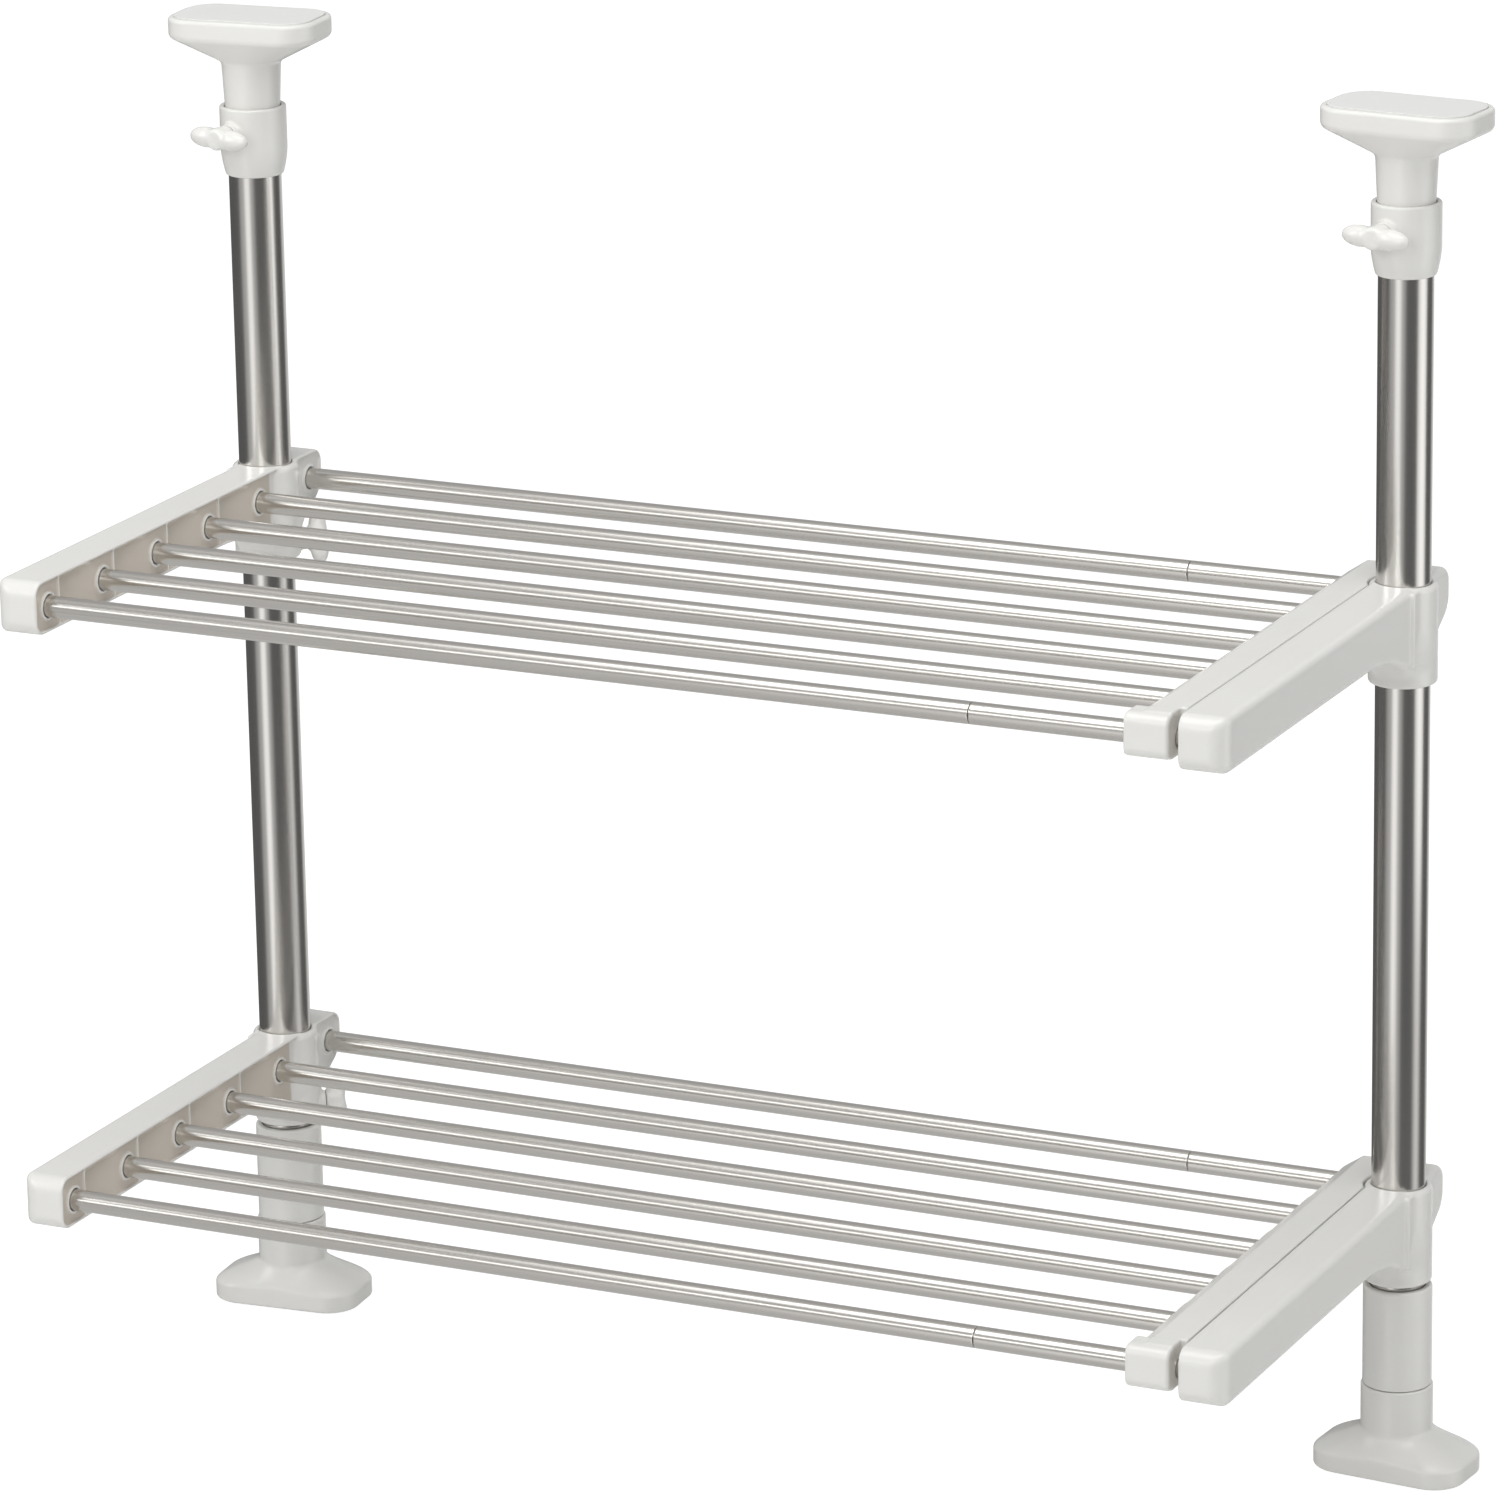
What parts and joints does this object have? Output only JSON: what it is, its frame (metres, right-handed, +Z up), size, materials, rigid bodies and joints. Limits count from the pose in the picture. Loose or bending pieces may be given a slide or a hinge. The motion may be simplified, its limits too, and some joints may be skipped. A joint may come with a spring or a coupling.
{
  "type": "expandable kitchen rack",
  "caption": "Two-tier steel rod shelf rack on telescopic posts braced between worktop and cabinet, with width-adjustable shelves, screw feet and wing-screw clamps",
  "frame": {"origin": "on the worktop plane under the feet, midway between the two post axes and on the plane through both", "axes": "+X to the right along the rods, +Y to the back, +Z up; the shelves reach to -Y"},
  "size_m": [0.6572, 0.272, 0.643],
  "materials": {
    "white_plastic": "satin moulded off-white plastic",
    "steel_post": "polished stainless steel tube",
    "steel_rod": "satin stainless steel rod",
    "grey_sole": "matt pale rubber"
  },
  "bodies": {
    "left_base": {"left_foot": "white_plastic", "left_foot_sole": "grey_sole"},
    "left_adjuster": {"left_adjuster_sleeve": "white_plastic"},
    "left_column": {"left_post": "steel_post", "left_thread_plug": "white_plastic", "left_collar": "white_plastic"},
    "left_extension": {"left_stem": "steel_post"},
    "left_head": {"left_pad": "white_plastic", "left_pad_sole": "grey_sole"},
    "left_collar_lock": {"left_collar_screw": "white_plastic"},
    "right_base": {"right_foot": "white_plastic", "right_foot_sole": "grey_sole"},
    "right_adjuster": {"right_adjuster_sleeve": "white_plastic"},
    "right_column": {"right_post": "steel_post", "right_thread_plug": "white_plastic", "right_collar": "white_plastic"},
    "right_extension": {"right_stem": "steel_post"},
    "right_head": {"right_pad": "white_plastic", "right_pad_sole": "grey_sole"},
    "right_collar_lock": {"right_collar_screw": "white_plastic"},
    "lower_shelf_left": {"lower_left_bracket": "white_plastic", "lower_joiner_bar": "white_plastic", "lower_outer_tube_1": "steel_rod", "lower_outer_tube_2": "steel_rod", "lower_outer_tube_3": "steel_rod", "lower_outer_tube_4": "steel_rod", "lower_outer_tube_5": "steel_rod", "lower_outer_tube_6": "steel_rod"},
    "lower_shelf_right": {"lower_right_bracket": "white_plastic", "lower_inner_rod_1": "steel_rod", "lower_inner_rod_2": "steel_rod", "lower_inner_rod_3": "steel_rod", "lower_inner_rod_4": "steel_rod", "lower_inner_rod_5": "steel_rod", "lower_inner_rod_6": "steel_rod"},
    "lower_rear_lock": {"lower_lock_sleeve_rear": "steel_rod"},
    "lower_front_lock": {"lower_lock_sleeve_front": "steel_rod"},
    "lower_left_clamp": {"lower_left_clamp_screw": "white_plastic"},
    "lower_right_clamp": {"lower_right_clamp_screw": "white_plastic"},
    "upper_shelf_left": {"upper_left_bracket": "white_plastic", "upper_joiner_bar": "white_plastic", "upper_outer_tube_1": "steel_rod", "upper_outer_tube_2": "steel_rod", "upper_outer_tube_3": "steel_rod", "upper_outer_tube_4": "steel_rod", "upper_outer_tube_5": "steel_rod", "upper_outer_tube_6": "steel_rod"},
    "upper_shelf_right": {"upper_right_bracket": "white_plastic", "upper_inner_rod_1": "steel_rod", "upper_inner_rod_2": "steel_rod", "upper_inner_rod_3": "steel_rod", "upper_inner_rod_4": "steel_rod", "upper_inner_rod_5": "steel_rod", "upper_inner_rod_6": "steel_rod"},
    "upper_rear_lock": {"upper_lock_sleeve_rear": "steel_rod"},
    "upper_front_lock": {"upper_lock_sleeve_front": "steel_rod"},
    "upper_left_clamp": {"upper_left_clamp_screw": "white_plastic"},
    "upper_right_clamp": {"upper_right_clamp_screw": "white_plastic"}
  },
  "joints": [
    {"name": "left_sleeve_turn", "type": "hinge", "parent": "left_base", "child": "left_adjuster", "pos_m": [-0.2903, 0, 0.0425], "axis": [0, 0, -1], "range_deg": [0, 2160]},
    {"name": "left_post_rise", "type": "slide", "parent": "left_base", "child": "left_column", "axis": [0, 0, 1], "range_m": [0, 0.024]},
    {"name": "lower_shelf_height", "type": "slide", "parent": "left_column", "child": "lower_shelf_left", "axis": [0, 0, 1], "range_m": [0, 0.1]},
    {"name": "upper_shelf_height", "type": "slide", "parent": "left_column", "child": "upper_shelf_left", "axis": [0, 0, 1], "range_m": [-0.1, 0.13]},
    {"name": "lower_shelf_width", "type": "slide", "parent": "lower_shelf_left", "child": "lower_shelf_right", "axis": [1, 0, 0], "range_m": [0, 0.3]},
    {"name": "upper_shelf_width", "type": "slide", "parent": "upper_shelf_left", "child": "upper_shelf_right", "axis": [1, 0, 0], "range_m": [0, 0.3]},
    {"name": "right_post_slide", "type": "slide", "parent": "lower_shelf_right", "child": "right_column", "axis": [0, 0, 1], "range_m": [-0.1, 0]},
    {"name": "right_foot_drop", "type": "slide", "parent": "right_column", "child": "right_base", "axis": [0, 0, -1], "range_m": [0, 0.024]},
    {"name": "right_sleeve_turn", "type": "hinge", "parent": "right_base", "child": "right_adjuster", "pos_m": [0.2903, 0, 0.0425], "axis": [0, 0, -1], "range_deg": [0, 2160]},
    {"name": "left_stem_height", "type": "slide", "parent": "left_column", "child": "left_extension", "axis": [0, 0, 1], "range_m": [0, 0.24]},
    {"name": "left_pad_turn", "type": "hinge", "parent": "left_extension", "child": "left_head", "pos_m": [-0.2903, 0, 0.62], "axis": [0, 0, 1], "range_deg": [-90, 90]},
    {"name": "left_collar_screw_turn", "type": "hinge", "parent": "left_column", "child": "left_collar_lock", "pos_m": [-0.2903, 0, 0.587], "axis": [-0.2419, -0.9703, 0], "range_deg": [0, 720]},
    {"name": "right_stem_height", "type": "slide", "parent": "right_column", "child": "right_extension", "axis": [0, 0, 1], "range_m": [0, 0.24]},
    {"name": "right_pad_turn", "type": "hinge", "parent": "right_extension", "child": "right_head", "pos_m": [0.2903, 0, 0.62], "axis": [0, 0, 1], "range_deg": [-90, 90]},
    {"name": "right_collar_screw_turn", "type": "hinge", "parent": "right_column", "child": "right_collar_lock", "pos_m": [0.2903, 0, 0.587], "axis": [-0.2419, -0.9703, 0], "range_deg": [0, 720]},
    {"name": "lower_rear_lock_turn", "type": "hinge", "parent": "lower_shelf_left", "child": "lower_rear_lock", "pos_m": [0.1783, 0.023, 0.127], "axis": [1, 0, 0], "range_deg": [-90, 0]},
    {"name": "lower_front_lock_turn", "type": "hinge", "parent": "lower_shelf_left", "child": "lower_front_lock", "pos_m": [0.1783, -0.2255, 0.127], "axis": [1, 0, 0], "range_deg": [-90, 0]},
    {"name": "lower_left_clamp_screw_turn", "type": "hinge", "parent": "lower_shelf_left", "child": "lower_left_clamp", "pos_m": [-0.2903, 0, 0.1004], "axis": [0.8192, 0.5736, 0], "range_deg": [0, 720]},
    {"name": "lower_right_clamp_screw_turn", "type": "hinge", "parent": "lower_shelf_right", "child": "lower_right_clamp", "pos_m": [0.2903, 0, 0.1004], "axis": [-0.8192, 0.5736, 0], "range_deg": [0, 720]},
    {"name": "upper_rear_lock_turn", "type": "hinge", "parent": "upper_shelf_left", "child": "upper_rear_lock", "pos_m": [0.1783, 0.023, 0.4128], "axis": [1, 0, 0], "range_deg": [-90, 0]},
    {"name": "upper_front_lock_turn", "type": "hinge", "parent": "upper_shelf_left", "child": "upper_front_lock", "pos_m": [0.1783, -0.2255, 0.4128], "axis": [1, 0, 0], "range_deg": [-90, 0]},
    {"name": "upper_left_clamp_screw_turn", "type": "hinge", "parent": "upper_shelf_left", "child": "upper_left_clamp", "pos_m": [-0.2903, 0, 0.3862], "axis": [0.8192, 0.5736, 0], "range_deg": [0, 720]},
    {"name": "upper_right_clamp_screw_turn", "type": "hinge", "parent": "upper_shelf_right", "child": "upper_right_clamp", "pos_m": [0.2903, 0, 0.3862], "axis": [-0.8192, 0.5736, 0], "range_deg": [0, 720]}
  ],
  "couplings": [
    {"joint": "left_sleeve_turn", "follows": "left_post_rise", "rad_per_m": 1570.8},
    {"joint": "right_sleeve_turn", "follows": "right_foot_drop", "rad_per_m": 1570.8},
    {"joint": "right_post_slide", "follows": "lower_shelf_height", "ratio": -1},
    {"joint": "upper_shelf_width", "follows": "lower_shelf_width", "ratio": 1}
  ]
}
